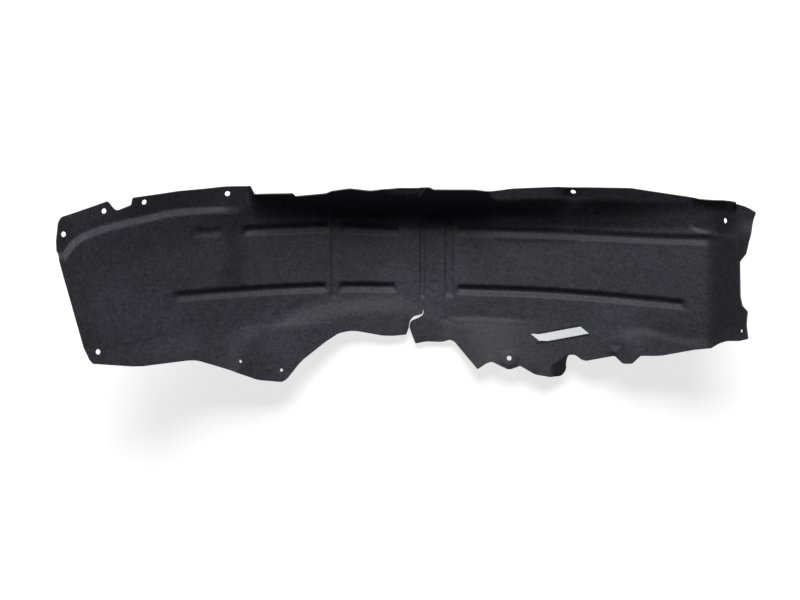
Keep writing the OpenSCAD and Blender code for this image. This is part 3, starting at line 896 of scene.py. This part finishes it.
# The liner
sheet, lowest = sheet_mesh("formed_sheet")
LIFT = -lowest
sheet.transform(Matrix.Translation((0, 0, LIFT * MM)))
liner = add_object("formed_sheet", sheet)
sheet.materials.append(sheet_material())
sheet.materials.append(rim_material())
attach(liner, "root")
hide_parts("liner")


# The label: its upper front corner, its short side, the way it runs and the bend at its front
LABEL_CORNER = np.array([150, -CREASE_Y - 25.3])
LABEL_SIDE = np.array([12, -10])
LABEL_RUN = np.array([71.7, 13.9]) / 73
LABEL_BEND = 2.6
LABEL_BEND_L = 14
LABEL_COLS = 72
LABEL_ROWS = 14


def label_mesh(name):
    """The label: a skewed strip of paper that follows the outer flange."""
    cols, rows = LABEL_COLS, LABEL_ROWS
    i, j = np.divmod(np.arange((cols + 1) * (rows + 1)), rows + 1)
    plan = (LABEL_CORNER + np.outer(i / cols, LABEL_RUN * LABEL_L)
            + np.outer(j / rows, LABEL_SIDE))
    plan[:, 1] += LABEL_BEND * ease(1 - i / cols * LABEL_L / LABEL_BEND_L)
    face = np.column_stack([plan, form(*plan.T)])
    normals = form_normal(*plan.T)
    verts = np.concatenate([face + normals * (LABEL_GAP + LABEL_T), face + normals * LABEL_GAP])
    verts[:, :2] -= MIDDLE
    verts[:, 2] += LIFT

    def at(i, j, s):
        """The number of a point in a column and row, on top for s = 0 and below for s = 1."""
        return (s * (cols + 1) + i) * (rows + 1) + j

    quads = []
    for i in range(cols):
        for j in range(rows):
            quads.append((at(i, j, 0), at(i, j + 1, 0), at(i + 1, j + 1, 0), at(i + 1, j, 0)))
            quads.append((at(i + 1, j, 1), at(i + 1, j + 1, 1), at(i, j + 1, 1), at(i, j, 1)))
        quads.append((at(i, 0, 0), at(i + 1, 0, 0), at(i + 1, 0, 1), at(i, 0, 1)))
        quads.append((at(i + 1, rows, 0), at(i, rows, 0), at(i, rows, 1), at(i + 1, rows, 1)))
    for j in range(rows):
        quads.append((at(0, j + 1, 0), at(0, j, 0), at(0, j, 1), at(0, j + 1, 1)))
        quads.append((at(cols, j, 0), at(cols, j + 1, 0), at(cols, j + 1, 1), at(cols, j, 1)))
    mesh = bpy.data.meshes.new(name)
    mesh.from_pydata((verts * MM).tolist(), [], quads)
    mesh.update()
    return mesh


label = add_object("paper_label", label_mesh("paper_label"))
label.data.materials.append(paper_material())
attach(label, "root")
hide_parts("part_label")


# Floor, light and camera, in metres where nothing else is said
FLOOR_HALF = 30
FLOOR_GLOW = 0.75
AMBIENT = 0.02
KEY_PLACE = (-0.4, 4.5, 4.1)
KEY_TARGET = (0, 0.05, 0.05)
KEY_SIZE = 3.75
KEY_POWER = 465

# The camera in millimetres: its height over the crown, its axis in plan and the size of a pixel
CAMERA_HEIGHT = 2200
CAMERA_AXIS = (-45, -65)
PIXEL = 1.5
PICTURE_WIDTH = 800
SENSOR_WIDTH = 36


def stage_floor():
    """A grey floor that glows to the camera, in mirrors and through clear things."""
    mesh = bpy.data.meshes.new("floor")
    s = FLOOR_HALF
    mesh.from_pydata([(-s, -s, 0), (s, -s, 0), (s, s, 0), (-s, s, 0)], [], [(0, 1, 2, 3)])
    floor = add_object("floor", mesh)
    material, m = new_material("floor")
    ray = m.add("ShaderNodeLightPath", {}).outputs
    also = m.math("MAXIMUM", ray["Is Glossy Ray"], ray["Is Transmission Ray"])
    seen = m.math("MAXIMUM", ray["Is Camera Ray"], also)
    m.dress({
        "Base Color": (0.6, 0.6, 0.6, 1),
        "Roughness": 0.9,
        "Specular IOR Level": 0.0,
        "Emission Color": (1, 1, 1, 1),
        "Emission Strength": m.math("MULTIPLY", seen, FLOOR_GLOW)})
    mesh.materials.append(material)


def world_light():
    """White where the camera sees it, and a faint even light for the rest."""
    world = bpy.data.worlds.new("studio")
    bpy.context.scene.world = world
    m = Nodes(world, "Background")
    seen = m.add("ShaderNodeLightPath", {}).outputs["Is Camera Ray"]
    m.dress({"Color": (1, 1, 1, 1), "Strength": m.span(seen, AMBIENT, 1.0)})


def add_key_light():
    """One far, soft window beyond the inner wall."""
    lamp = bpy.data.lights.new("key", "AREA")
    lamp.shape = "SQUARE"
    lamp.size = KEY_SIZE
    lamp.energy = KEY_POWER
    piece = add_object("key", lamp)
    piece.location = KEY_PLACE
    toward = Vector(KEY_TARGET) - Vector(KEY_PLACE)
    piece.rotation_euler = toward.to_track_quat("-Z", "Y").to_euler()


def add_camera():
    """The photo's view, straight down."""
    data = bpy.data.cameras.new("camera")
    data.sensor_width = SENSOR_WIDTH
    data.lens = SENSOR_WIDTH * CAMERA_HEIGHT / (PIXEL * PICTURE_WIDTH)
    camera = add_object("camera", data)
    x, y = CAMERA_AXIS
    camera.location = (
        (x - MIDDLE[0]) * MM, (y - MIDDLE[1]) * MM, (CAMERA_HEIGHT + LIFT) * MM)
    bpy.context.scene.camera = camera


stage_floor()
world_light()
add_key_light()
add_camera()
bpy.context.scene.view_settings.view_transform = "Standard"
